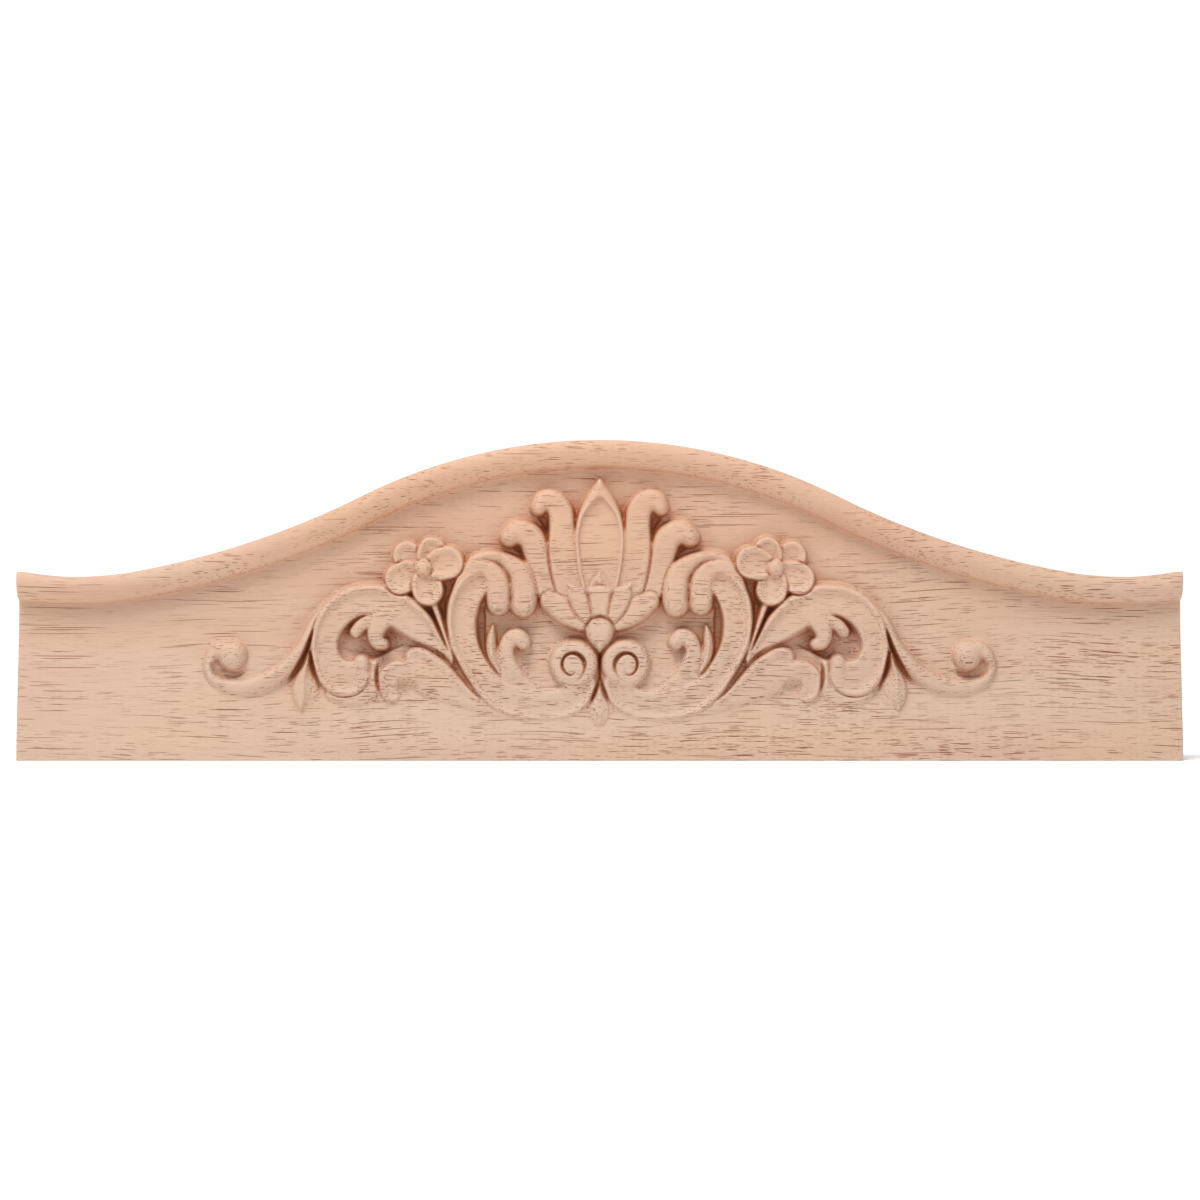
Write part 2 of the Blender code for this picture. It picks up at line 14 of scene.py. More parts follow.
import bpy
import numpy as np
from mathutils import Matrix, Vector


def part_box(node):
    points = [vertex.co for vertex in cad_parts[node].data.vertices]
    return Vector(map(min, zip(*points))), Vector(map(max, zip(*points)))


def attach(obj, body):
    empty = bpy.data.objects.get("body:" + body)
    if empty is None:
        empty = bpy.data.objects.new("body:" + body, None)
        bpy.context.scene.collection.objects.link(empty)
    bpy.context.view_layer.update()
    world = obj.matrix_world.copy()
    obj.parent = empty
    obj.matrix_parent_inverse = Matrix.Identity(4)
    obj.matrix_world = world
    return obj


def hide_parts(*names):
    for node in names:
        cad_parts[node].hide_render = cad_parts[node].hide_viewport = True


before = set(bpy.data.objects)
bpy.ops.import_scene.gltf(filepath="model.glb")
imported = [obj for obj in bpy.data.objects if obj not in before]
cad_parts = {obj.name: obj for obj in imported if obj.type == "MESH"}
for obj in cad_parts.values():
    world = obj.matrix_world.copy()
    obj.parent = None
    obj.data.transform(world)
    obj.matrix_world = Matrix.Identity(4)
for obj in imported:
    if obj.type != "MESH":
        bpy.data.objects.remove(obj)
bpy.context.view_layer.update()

# %% [markdown]
# Everything below is worked out in millimetres, because a carver's sizes are easier to read that
# way, and is turned into metres only when a mesh is made. The board's length, height and thickness
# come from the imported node. X runs along the board from its middle, Y from front to back and Z up.
# The carving is a height over the deep ground of the front, and RELIEF is how far the deep ground
# lies behind the front plane.

# %% Read the board's size
MM = 0.001
BOARD = "carved_headpiece"
low, high = (np.array(corner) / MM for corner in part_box(BOARD))
LENGTH, THICKNESS, HEIGHT = (float(round(side, 1)) for side in high - low)
FRONT = -THICKNESS / 2
RELIEF = 6.0
print(f"board {LENGTH} x {THICKNESS} x {HEIGHT} mm, relief {RELIEF} mm")

# %% [markdown]
# The top edge is an arch: a wide crown in the middle, a hollow flank on each side and a tighter
# tip that turns up again at the end. A drawing office would set it out with three compass arcs
# that run into each other without a corner, and so does this function. A spline through points
# would come close, but arcs keep the true radii and need only five numbers.

# %% Draw the arched top edge
CROWN_RADIUS = 182.5
CROWN_TURN = math.radians(26.5)
FLANK_RADIUS = 292.0
FLANK_TURN = math.radians(10.4)
TIP_RADIUS = 115.0


def top_edge(x):
    """Height of the arched top edge."""
    x = np.abs(x)
    crown_end = CROWN_RADIUS * math.sin(CROWN_TURN)
    flank_x = crown_end + FLANK_RADIUS * math.sin(CROWN_TURN)
    flank_z = HEIGHT - CROWN_RADIUS + (CROWN_RADIUS + FLANK_RADIUS) * math.cos(CROWN_TURN)
    flank_end = flank_x - FLANK_RADIUS * math.sin(FLANK_TURN)
    tip_x = flank_end + TIP_RADIUS * math.sin(FLANK_TURN)
    tip_z = flank_z - (FLANK_RADIUS - TIP_RADIUS) * math.cos(FLANK_TURN)
    crown = HEIGHT - CROWN_RADIUS + np.sqrt(np.maximum(CROWN_RADIUS**2 - x**2, 0))
    flank = flank_z - np.sqrt(np.maximum(FLANK_RADIUS**2 - (x - flank_x) ** 2, 0))
    tip = tip_z - np.sqrt(np.maximum(TIP_RADIUS**2 - (x - tip_x) ** 2, 0))
    return np.where(x < crown_end, crown, np.where(x < flank_end, flank, tip))


for place in (0, 100, 180, LENGTH / 2):
    print(f"top edge at {place:5.0f} mm: {float(top_edge(place)):6.2f} mm")

# %% [markdown]
# A relief like this could be sculpted by hand, or built from curves that are joined. Here it is a
# height field: a fine grid of points over the right half of the front, each with one height. A
# height field suits it because the real carving is cut from one side and has no undercuts, and
# numpy can work out a quarter of a million heights at once. The rows of the grid are stretched so
# that the last one follows the arch, which gives a clean edge.

# %% Lay a fine grid over the right half
CELL = 0.3
columns = round(LENGTH / 2 / CELL)
rows = round(HEIGHT / CELL)
X, share_up = np.meshgrid(np.linspace(0, LENGTH / 2, columns + 1), np.linspace(0, 1, rows + 1))
Z = share_up * top_edge(X)
print(f"grid of {columns} x {rows} cells")

# %% [markdown]
# Before any ornament is cut, the board gets its ground. Under the arched edge runs a moulding, a
# quarter-round that stands at full height and rolls down to the deep ground. Towards the foot the
# ground climbs again in one long flat ramp, so that the lowest strip is flush with the moulding.
# The two surfaces meet in a small fillet, the shape a round cutter leaves. Wood is never left with
# a sharp corner either, so the top edge is rounded, and the foot and the ends are eased with
# sandpaper.

# %% Cut the ground
MOULD_CREST = 2.8
MOULD_FOOT = 9.6
MOULD_FILLET = 1.6
MOULD_CORNER = 3.4
MOULD_DROP = 1.8
ARRIS = 0.5
RAMP_TOP = 47.5
RAMP_FOOT = 5.5
FILLET = 0.8


def soft_max(a, b, fillet):
    """The higher of two heights, with a fillet where they meet."""
    near = np.clip(fillet - np.abs(a - b), 0, None) / fillet
    return np.maximum(a, b) + near * near * fillet / 4


def quarter_round(inside, radius):
    """Drop of a rounded edge, from how far inside the edge a point lies."""
    short = np.clip(radius - inside, 0, radius)
    return np.sqrt(radius**2 - short**2) - radius


def ground(x, z):
    """Height of the uncarved front."""
    ramp = RELIEF * np.clip((RAMP_TOP - z) / (RAMP_TOP - RAMP_FOOT), 0, 1)
    slope = top_edge(x + 0.5) - top_edge(x - 0.5)
    inside = (top_edge(x) - z) / np.sqrt(1 + slope**2)
    down = np.clip((inside - MOULD_CREST) / (MOULD_FOOT - MOULD_CREST), 0, 1)
    corner = quarter_round(inside, MOULD_CORNER) * MOULD_DROP / MOULD_CORNER
    moulding = RELIEF * np.sqrt(1 - down**2) + corner
    return soft_max(ramp, moulding, MOULD_FILLET)


bare = ground(X, Z)
carved = bare.copy()
print(f"ground from {bare.min():.2f} to {bare.max():.2f} mm")

# %% [markdown]
# Every stem, leaf and petal is a limb: a shape that swells and thins along a curved route, like a
# stroke of a broad pen. A route is a short list of points with the limb's half-width at each. A
# smooth curve is drawn through them, and for every grid point near it the next function finds the
# closest piece of the curve, how far outside the limb the point lies, and on which side.

# %% Follow a route
REACH = 6.0
CURVE_STEPS = 8


def curve(points):
    """A smooth curve through the points, as finer rows with the same columns."""
    p = np.array(points, float)
    p = np.vstack([2 * p[0] - p[1], p, 2 * p[-1] - p[-2]])
    t = np.linspace(0, 1, CURVE_STEPS, endpoint=False)[:, None]
    pieces = []
    for a, b, c, d in zip(p[:-3], p[1:-2], p[2:-1], p[3:]):
        bend = (2 * a - 5 * b + 4 * c - d) * t**2 + (3 * b - a - 3 * c + d) * t**3
        pieces.append(0.5 * (2 * b + (c - a) * t + bend))
    return np.vstack(pieces + [p[-2:-1]])


def along_curve(values, share):
    """Reads evenly spaced values smoothly, at shares from 0 to 1 of the way."""
    if np.isscalar(values):
        return np.full(np.shape(share), float(values))
    line = curve([(value, 0.0) for value in values])[:, 0]
    return np.interp(share, np.linspace(0, 1, len(line)), line)


def follow(route):
    """For each grid point near a route: its index, how far it lies outside the limb's edge, its
    side from -1 at the left of the travel to 1, the limb's half-width and the share of the way."""
    line = curve(route)
    wide = line[:, 2].max() + REACH
    first, last = line[:, :2].min(0) - wide, line[:, :2].max(0) + wide
    near = (X > first[0]) & (X < last[0]) & (Z > first[1]) & (Z < last[1])
    index = np.flatnonzero(near)
    px, pz = X.flat[index], Z.flat[index]
    outside = np.full(len(index), np.inf)
    side, half, share = np.zeros(len(index)), np.ones(len(index)), np.zeros(len(index))
    for i, ((ax, az, aw), (bx, bz, bw)) in enumerate(zip(line[:-1], line[1:])):
        dx, dz = bx - ax, bz - az
        length = math.hypot(dx, dz) + 1e-9
        t = np.clip(((px - ax) * dx + (pz - az) * dz) / length**2, 0, 1)
        ox, oz = px - ax - dx * t, pz - az - dz * t
        away = np.hypot(ox, oz)
        width = aw + (bw - aw) * t
        closer = away - width < outside
        outside = np.where(closer, away - width, outside)
        side = np.where(closer, (dz * ox - dx * oz) / (length * (away + 1e-9)), side)
        half = np.where(closer, width, half)
        share = np.where(closer, (i + t) / (len(line) - 1), share)
    return index, outside, side, np.maximum(half, 0.01), share


trial = follow([(0, 50, 2), (20, 60, 3)])
print(f"a trial route touches {len(trial[0])} grid points, {int((trial[1] < 0).sum())} inside it")

# %% [markdown]
# A carver works from the back to the front: the lower leaf is cut first and the one that lies on
# it is set in afterwards, with a thin line cut round it so that the two part. The next function
# does the same. It gives a limb a cross-section, rounded edges and steep or soft sides, and lays it
# over what is there. A limb that grows out of another, such as a hook on a scroll, is blended in
# without the line. The hollow is the opposite tool, a gouge that cuts down along a route.

# %% Carve a limb or a hollow
TOUCHED = 0.05
WALL = 6.0
SOFT_WALL = 1.2
SOFT_FILLET = 1.6
CREASE = 1.8
CREASE_SLOPE = 3.0
CUT_SLOPE = 9.0


def limb(route, top, across=0.0, end=None, edge=1.2, left=WALL, right=WALL, fillet=FILLET,
         crease=CREASE, grown=False):
    """Carves a limb. top is its height, edge the radius of its rounded edges, left and right the
    steepness of its sides and crease the depth of the line round it; each is one value, or several
    along the way. across and end give the surface from its left to its right side."""
    index, outside, side, half, share = follow(route)
    reach = np.clip(1 + outside / half, 0, 1)
    leftness = (1 - side) / 2

    def surface(values):
        on_left = along_curve(values, (1 - reach) / 2)
        on_right = along_curve(values, (1 + reach) / 2)
        return leftness * on_left + (1 - leftness) * on_right

    form = surface(across)
    if end is not None:
        form = form * (1 - share) + surface(end) * share
    form = form + quarter_round(-outside, np.minimum(along_curve(edge, share), half))
    crest = along_curve(top, share)
    steep = along_curve(left, share) * leftness + along_curve(right, share) * (1 - leftness)
    new = crest + form - steep * np.maximum(outside, 0)
    old = carved.flat[index]
    if grown:
        carved.flat[index] = soft_max(new, old, fillet)
        return
    line_cut = np.minimum(old, crest - along_curve(crease, share) + CREASE_SLOPE * outside)
    inside = soft_max(new, bare.flat[index], fillet)
    beside = soft_max(new, line_cut, fillet)
    carved.flat[index] = np.where(outside <= 0, inside, beside)


def hollow(route, depth, slope):
    """Cuts a flat-bottomed hollow along a route, to a depth below the front plane."""
    index, outside, _, _, share = follow(route)
    floor = RELIEF - along_curve(depth, share) + slope * np.maximum(outside, 0)
    carved.flat[index] = np.minimum(carved.flat[index], floor)


def report(name):
    """Prints how much of the front differs from its bare ground so far."""
    share = (np.abs(carved - bare) > TOUCHED).mean()
    print(f"{name}: {share:.1%} of the front is carved, highest {carved.max():.2f} mm")


# %% [markdown]
# The outermost ornament is a long tendril that leaves the arch, sinks towards the foot and curls
# up into a ball. Its lower side melts into the ramp, and its upper side is crisp. The ball is a
# very short and wide limb that is grown over the tip. Its edge radius is almost as large as its
# half-width, so hardly any of its top stays flat.

# %% Carve the tendril
limb([(88.9, 55.8, 2.1), (96.4, 48.2, 2.4), (102.2, 38.0, 2.6), (110.0, 29.4, 3.2),
      (119.5, 25.4, 3.4), (126.8, 25.0, 3.1), (132.2, 27.4, 2.4), (134.6, 31.6, 1.9),
      (133.4, 35.8, 2.2), (130.6, 38.0, 2.6), (127.4, 38.4, 2.5)],
     (5.6, 5.3, 5.0, 4.4, 4.4, 4.8), (-0.4, 0.0, 0.0, -0.4, -1.0), 0.0,
     edge=(1.6, 2.2, 2.6, 2.2, 2.6), left=(3.0, 3.0, 3.0, 4.0, 6.0),
     right=(6.0, 4.0, 1.0, 0.6, 1.2), crease=(1.5, 0.0, 0.0))
hollow([(132.6, 33.0, 0.5), (131.0, 30.8, 1.0), (128.2, 29.6, 0.7), (125.0, 29.4, 0.4),
        (121.8, 30.8, 0.3), (120.2, 33.0, 0.1)], (3.2, 4.2, 4.6, 4.8, 4.0, 3.4), 1.8)
limb([(126.4, 36.0, 5.5), (126.3, 36.0, 5.5)], 6.0, edge=5.2, left=6.0, right=6.0, grown=True)
report("tendril")

# %% [markdown]
# An acanthus leaf runs out along the foot from the middle scroll. Its body is broad and soft, one
# lobe rolls over to a rounded tip with a shadowed pocket behind it, a second lobe lies on top, and
# a small crescent peeps out beyond. Acanthus is drawn as overlapping lobes that grow out of one
# another, so the lobes here are limbs with soft sides and no line between them.

# %% Carve the acanthus leaf
soft = {"left": SOFT_WALL, "right": 0.9, "fillet": SOFT_FILLET}
limb([(77.4, 33.5, 1.2), (77.3, 28.5, 1.9), (78.0, 24.2, 2.7), (81.6, 22.0, 3.2),
      (87.0, 21.6, 3.2), (92.0, 22.8, 2.4)], 4.9, edge=2.4, crease=0.0, **soft)
limb([(30.0, 15.0, 0.5), (36.0, 17.2, 2.8), (45.0, 21.2, 4.4), (54.0, 25.6, 5.6),
      (61.0, 29.4, 6.0), (65.0, 31.0, 4.6)], 4.8, edge=3.0, crease=0.0, **soft)
limb([(56.0, 23.4, 3.6), (61.5, 26.6, 3.6), (65.6, 29.6, 3.6), (69.4, 30.6, 3.6),
      (72.4, 28.2, 3.6), (72.4, 24.2, 3.2), (71.0, 22.4, 2.6)], (4.2, 4.8, 5.4, 5.4, 5.2),
     0.0, (0.0, 0.0, -0.7, -0.9, -0.7, -0.5), edge=(2.0, 1.6, 1.0, 1.0, 1.6),
     left=(1.2, 1.2, 4.0, 4.0, 1.0), right=SOFT_WALL, grown=True)
hollow([(75.4, 34.0, 0.05), (76.4, 31.5, 0.15), (76.5, 27.5, 0.15), (75.6, 23.6, 0.1),
        (74.2, 20.6, 0.05)], (2.6, 3.6, 3.4, 2.4, 1.0), 4.0)
limb([(37.0, 17.6, 1.4), (43.8, 20.4, 2.6), (50.2, 25.0, 4.0), (56.2, 30.0, 4.9),
      (61.2, 33.8, 4.5), (63.0, 35.0, 3.6)], 5.5, (0.0, 0.0, -0.6, -0.8, -0.8, -0.8),
     edge=(1.2, 1.2, 1.0), left=4.0, right=SOFT_WALL, grown=True)
hollow([(62.2, 24.4, 0.2), (64.6, 24.8, 0.7), (67.0, 25.2, 0.8)], (1.4, 2.8, 3.2), 0.8)
report("acanthus leaf")

# %% [markdown]
# Over the leaf stands an S-scroll that arches across and rolls into a rounded end. It is the
# broadest limb on each side, slightly dished, and three small hooks hang inside its curve. They
# are grown out of it with rounded ends. A pocket is cut under them first, deeper than the ground,
# because that is where the photograph has its darkest browns.

# %% Carve the arching scroll and its hooks
hollow([(85.4, 46.6, 1.8), (86.0, 41.0, 3.0), (80.5, 38.5, 3.2), (74.0, 41.0, 3.4),
        (67.0, 41.8, 1.8)], (6.8, 5.0, 6.0, 6.8, 5.0), 3.0)
limb([(51.0, 33.6, 0.3), (53.0, 37.3, 1.0), (55.6, 40.0, 2.4), (59.0, 43.4, 3.9),
      (63.5, 47.3, 5.3), (68.6, 51.2, 5.9), (74.5, 54.2, 5.7), (80.0, 55.1, 5.1),
      (84.8, 54.1, 5.1), (89.2, 51.3, 5.1), (92.6, 46.9, 4.8), (94.4, 41.4, 4.6),
      (94.2, 36.2, 4.8), (92.4, 31.6, 5.5), (89.3, 28.6, 6.2), (86.0, 28.2, 6.0),
      (83.6, 29.4, 4.8)],
     (5.6, 5.8, 5.8, 5.7, 5.4, 5.2), (0.0, 0.0, -1.0, -1.4, -1.3, -1.2, -1.2, -1.1, -1.0),
     (0.0, 0.0, -0.8, -0.9, -0.8, -0.8, -0.7, -0.7, -0.7), edge=(1.0, 1.2, 1.2, 1.2), left=4.0,
     right=(2.0, 2.0, 3.0, 6.0, 6.0))
limb([(82.4, 27.5, 3.4), (81.9, 31.0, 3.2), (81.8, 33.4, 3.0)], (4.6, 5.2, 5.4),
     edge=2.8, left=3.0, right=3.0, grown=True)
limb([(74.6, 49.8, 1.2), (78.4, 48.5, 1.9), (81.8, 46.5, 2.2), (83.8, 44.2, 2.1)],
     (4.4, 5.0, 5.2), edge=(0.6, 1.6, 2.1), grown=True)
limb([(68.5, 49.6, 2.0), (72.5, 49.6, 3.2), (75.6, 47.2, 3.3), (77.0, 43.4, 2.9),
      (76.2, 40.6, 2.5), (74.4, 40.0, 2.0)], (4.2, 5.2, 5.4, 5.2),
     edge=(0.6, 1.4, 2.0, 2.0), grown=True)
report("arching scroll")

# %% [markdown]
# A small ridged bud fills the corner between the tendril and the arching scroll. Two deep wedges
# are cut with a pointed knife, one on each side of it, and a shallow hollow opens the foot of the
# outer one. The bud is then set in between them.

# %% Cut the wedges and set in the bud
RIDGE = (-0.9, -0.5, 0.0, -0.5, -0.9)
SHARP_RIDGE = (-1.3, -0.8, 0.0, -0.8, -1.3)
BUD_FACETS = (-1.3, -0.6, 0.0, -0.9, -1.6, -2.2)
hollow([(98.4, 45.0, 0.05), (99.6, 41.0, 0.15), (101.2, 36.8, 0.3), (104.0, 31.6, 0.35),
        (106.6, 27.4, 0.35), (108.4, 24.4, 0.1)], (2.5, 5.6, 6.2, 5.4, 3.8, 1.2), CUT_SLOPE)
hollow([(105.6, 27.6, 0.6), (108.0, 24.8, 1.4), (110.6, 22.6, 0.4)], (2.4, 2.8, 1.0), 1.0)
hollow([(99.6, 37.5, 0.2), (99.0, 33.5, 0.3), (97.9, 29.5, 0.3), (96.2, 25.4, 0.25),
        (94.6, 22.4, 0.05)], (5.0, 6.0, 5.2, 3.6, 1.2), CUT_SLOPE)
limb([(99.9, 36.0, 0.2), (100.7, 31.8, 1.3), (101.2, 27.7, 3.0), (100.9, 24.4, 4.4),
      (101.2, 22.0, 4.0), (101.9, 19.8, 2.4), (102.4, 17.0, 0.3)],
     (4.8, 5.8, 6.0, 6.0), BUD_FACETS, edge=0.5, left=(4.0, 3.0, 1.4), right=(4.0, 3.0, 1.4),
     crease=(1.0, 0.5, 0.0))
report("bud")

# %% [markdown]
# The two long petals on each side of the palmette are cut before the middle scroll, because the
# scroll's curled fingers lie over their feet. They are dished like spoons along the stalk, and
# roll over into a rounded knob at the top. A small deep pocket is cut in the crook of each first.

# %% Carve the side petals of the palmette
DISH = (0.0, -0.4, -0.6, -0.4, 0.0)
DOME = (-0.8, -0.2, 0.0, -0.2, -0.8)
DEEP_CREASE = 2.6
hollow([(30.4, 73.2, 0.2), (27.4, 72.8, 0.8), (25.6, 69.8, 0.2)], (6.4, 7.4, 6.8), 3.0)
hollow([(21.4, 84.0, 0.2), (19.2, 82.4, 0.8), (17.4, 78.0, 0.2)], (6.4, 7.4, 6.8), 3.0)
limb([(15.6, 54.5, 3.8), (18.2, 60.0, 3.9), (20.0, 65.0, 3.9), (21.4, 70.0, 4.4),
      (23.6, 76.4, 4.6), (28.2, 78.6, 4.3), (31.0, 76.7, 3.7)],
     (4.8, 5.0, 5.2, 5.5, 5.7), DISH, DOME, edge=(1.2, 1.4, 2.4, 3.6), crease=DEEP_CREASE)
limb([(9.7, 57.0, 4.6), (11.5, 64.0, 4.9), (12.7, 72.2, 4.9), (12.9, 79.8, 4.4),
      (13.4, 85.2, 4.3), (15.9, 88.9, 3.9), (19.2, 89.2, 3.6), (21.0, 86.9, 2.9)],
     (5.0, 5.2, 5.4, 5.6, 5.8), DISH, DOME, edge=(1.2, 1.4, 2.0, 2.9), crease=DEEP_CREASE)
report("side petals")

# %% [markdown]
# The middle scroll is a large C. Its foot is a broad, flat band that sweeps under the palmette and
# winds into a volute, and its head splits into two fingers that curl over. Between them runs a
# hollow channel, which the cross-section makes: low in the middle and high at the outer rim. A
# slim pointed leaf and a hooked one stand inside the C. The volute's spiral is one long gouge cut,
# and so is each of the dark gaps beside the C.

# %% Carve the middle scroll
limb([(45.5, 66.0, 1.4), (43.3, 69.0, 1.4), (39.0, 70.4, 1.5), (34.2, 69.6, 2.0),
      (30.4, 67.4, 3.0), (27.3, 64.2, 4.0), (26.2, 59.5, 4.5), (25.9, 55.4, 4.6),
      (26.3, 53.6, 4.5)], (5.5, 5.6, 5.7, 5.9, 5.9), edge=(1.4, 2.0, 2.8, 3.4))
limb([(40.2, 62.6, 3.4), (42.8, 60.2, 4.6), (46.0, 55.5, 5.2), (47.4, 48.8, 5.0),
      (46.9, 42.0, 4.8), (44.5, 35.9, 4.6), (41.4, 30.4, 4.6), (37.4, 25.2, 5.0),
      (32.7, 21.7, 5.6), (26.5, 19.7, 5.8), (19.7, 19.0, 5.8), (13.5, 19.6, 5.8),
      (8.7, 22.2, 5.8), (6.0, 26.3, 5.1)],
     (5.9, 5.9, 5.8, 5.6, 5.4), (0.0, 0.0, -1.1, -1.6, -1.6, -1.5, -1.3, -1.0, -0.6),
     (0.0, -0.1, -1.1, -1.1, -0.8, -0.6, -0.5, -0.8, -1.6), edge=(1.2, 1.2, 1.6, 2.4, 2.4),
     left=(6.0, 6.0, 3.0, 0.7, 0.6), right=(6.0, 6.0, 3.0, 1.0, 0.8),
     crease=(1.8, 1.8, 1.8, 0.0, 0.0, 0.0))
limb([(50.9, 52.0, 0.8), (49.6, 57.5, 1.1), (47.6, 62.0, 1.5), (45.0, 65.4, 2.0),
      (41.3, 66.6, 2.4), (37.6, 65.2, 3.3), (35.4, 62.2, 4.0), (34.8, 58.5, 4.2),
      (34.8, 55.6, 4.2), (34.7, 54.0, 4.1)], (4.8, 5.7, 5.9, 5.9, 5.9),
     edge=(0.8, 1.2, 2.4, 3.0), grown=True)
limb([(20.6, 21.4, 2.6), (27.0, 25.2, 3.9), (30.8, 29.8, 4.0), (32.2, 34.6, 3.2),
      (32.2, 38.6, 2.8), (30.6, 41.6, 2.8), (28.0, 42.4, 2.9), (26.3, 40.6, 2.8)],
     (4.2, 4.8, 5.1, 5.3, 5.4), (0.0, -0.1, -0.4, -0.7, -0.7), 0.0,
     edge=(1.2, 1.6, 2.0, 2.8), left=(0.8, 1.0, 2.0, 6.0, 6.0), grown=True)
hollow([(40.4, 52.6, 0.5), (40.7, 48.0, 1.2), (40.5, 42.0, 1.0), (39.4, 37.4, 0.5),
        (37.0, 32.6, 0.2), (34.0, 28.9, 0.1)], (6.8, 7.0, 6.8, 5.8, 4.0, 2.4), CUT_SLOPE)
limb([(36.6, 46.4, 0.2), (37.1, 43.0, 1.3), (37.3, 39.0, 1.7), (36.6, 34.8, 1.5),
      (34.4, 30.0, 0.4)], (4.6, 5.4, 5.6, 5.2), SHARP_RIDGE, edge=0.5)
limb([(8.9, 33.0, 8.3), (8.8, 33.1, 8.3)], 5.6, edge=2.4, left=1.6, right=1.6, grown=True)
hollow([(14.5, 27.5, 0.05), (11.0, 26.4, 0.05), (7.8, 27.3, 0.05), (6.0, 29.3, 0.1),
        (5.1, 32.0, 0.25), (5.8, 34.9, 0.4), (8.0, 36.7, 0.3), (10.5, 36.7, 0.15),
        (12.4, 35.1, 0.1), (12.9, 32.6, 0.1), (12.0, 30.4, 0.05), (10.3, 29.4, 0.05),
        (8.8, 29.8, 0.05), (8.2, 30.9, 0.05)],
       (0.4, 1.0, 1.8, 3.0, 3.0, 2.6, 2.0, 1.0), 6.0)
hollow([(65.0, 40.4, 0.05), (61.0, 40.0, 0.1), (57.8, 38.8, 0.1), (55.0, 37.0, 0.15),
        (52.8, 35.0, 0.05), (50.4, 32.2, 0.05), (47.6, 28.7, 0.05), (44.7, 25.0, 0.05),
        (41.6, 22.0, 0.05), (39.2, 20.1, 0.05)], (1.4, 2.2, 3.0, 3.6, 3.6, 3.0, 1.0), CUT_SLOPE)
hollow([(0.0, 37.5, 0.25), (0.0, 33.0, 0.15), (0.0, 28.5, 0.1), (1.0, 25.0, 0.15),
        (2.2, 21.8, 0.2), (3.2, 18.8, 0.05)], (6.5, 6.0, 5.5, 4.5, 2.5), CUT_SLOPE)
report("middle scroll")

# %% [markdown]
# A small flower fills the valley between the two scrolls on each side. It has five round petals
# with raised rims round a ball, on a thin stem with a deep gap on each side. One loop makes the
# petals: each is a short limb that starts under the ball and widens outwards, and its
# cross-section is a shallow dish.

# %% Carve the flower
RIM = (0.0, -0.4, -1.1, -1.2, -1.2, -1.1, -0.4, 0.0)
FLOWER = (60.4, 66.1)
PETALS = [(5.6, 4.2, 4.9, 4.8), (-2.8, 6.0, 4.6, 5.0), (8.0, -3.8, 5.3, 5.3),
          (-1.4, -7.6, 5.3, 5.3), (-8.2, 1.8, 5.5, 5.6)]
PETAL_WIDTHS = [(0.35, 0.6), (0.7, 0.95), (1.0, 1.0)]
hollow([(65.4, 58.0, 0.3), (62.4, 55.6, 0.5), (59.0, 52.8, 0.9), (56.9, 49.4, 0.5),
        (55.2, 45.2, 0.25), (53.4, 41.0, 0.15), (51.8, 37.4, 0.1)],
       (5.5, 7.0, 6.6, 5.0, 3.4), CUT_SLOPE)
hollow([(52.8, 61.4, 0.3), (53.8, 58.0, 1.0), (54.4, 54.5, 1.1), (54.0, 49.5, 0.7),
        (52.9, 44.0, 0.4), (51.6, 39.0, 0.2), (50.5, 35.6, 0.15)],
       (5.5, 7.0, 6.6, 5.2, 3.6), CUT_SLOPE)
limb([(57.4, 55.0, 1.1), (56.0, 51.0, 0.95), (54.6, 47.0, 0.8), (52.8, 41.8, 0.6),
      (51.3, 37.4, 0.45), (50.4, 34.6, 0.3)], (4.4, 4.8, 5.0), edge=0.6, crease=0.0)
for out_x, out_z, half_width, petal_top in PETALS:
    petal = [(FLOWER[0] + share * out_x, FLOWER[1] + share * out_z, width * half_width)
             for share, width in PETAL_WIDTHS]
    limb(petal, (petal_top - 0.6, petal_top + 0.2), RIM, edge=0.8, crease=DEEP_CREASE)
limb([(*FLOWER, 3.3), (FLOWER[0] + 0.1, FLOWER[1], 3.3)], 6.0, edge=3.2)
report("flower")

# %% [markdown]
# The palmette is the centre of the design: a tall pointed petal between the curled ones, rising
# from a calyx of small rounded sepals. The point is an ogive with a bevelled border, which the
# larger edge radius there gives, and the face inside the border is sunk by a little over a
# millimetre. Below it hang a drop and, between the two volutes, a small pointed leaf.

# %% Carve the palmette, the drop and the tail
SEPAL_CREASE = 1.9
limb([(0.0, 96.4, 0.02), (0.0, 93.4, 2.1), (0.0, 90.3, 4.0), (0.0, 87.2, 5.7),
      (0.0, 84.1, 7.0), (0.0, 81.0, 7.8), (0.0, 76.0, 8.3), (0.0, 70.5, 7.9),
      (0.0, 65.4, 7.2), (0.0, 58.5, 5.6)], 6.0, edge=(3.0, 3.0, 2.6, 1.0, 0.6, 0.5),
     crease=DEEP_CREASE)
hollow([(0.0, 90.2, 0.02), (0.0, 87.9, 1.8), (0.0, 85.4, 3.5), (0.0, 82.9, 5.1),
        (0.0, 80.4, 6.3), (0.0, 76.0, 7.0), (0.0, 70.5, 6.6), (0.0, 65.4, 5.9),
        (0.0, 58.5, 4.3)], (1.4, 1.3, 1.1), 2.4)
limb([(17.3, 54.9, 3.3), (13.4, 52.4, 4.2), (9.9, 49.8, 3.8), (6.3, 47.0, 2.3)],
     (5.2, 5.5, 5.5, 5.2), edge=(2.0, 2.0, 1.4), left=3.5)
limb([(9.2, 57.8, 1.9), (7.7, 56.2, 3.2), (6.2, 52.5, 3.0), (4.4, 49.0, 2.0)], 5.6, edge=1.3,
     crease=SEPAL_CREASE)
limb([(10.6, 60.3, 0.4), (8.6, 59.0, 1.0), (5.8, 58.5, 1.0)], 5.8, edge=0.6, grown=True)
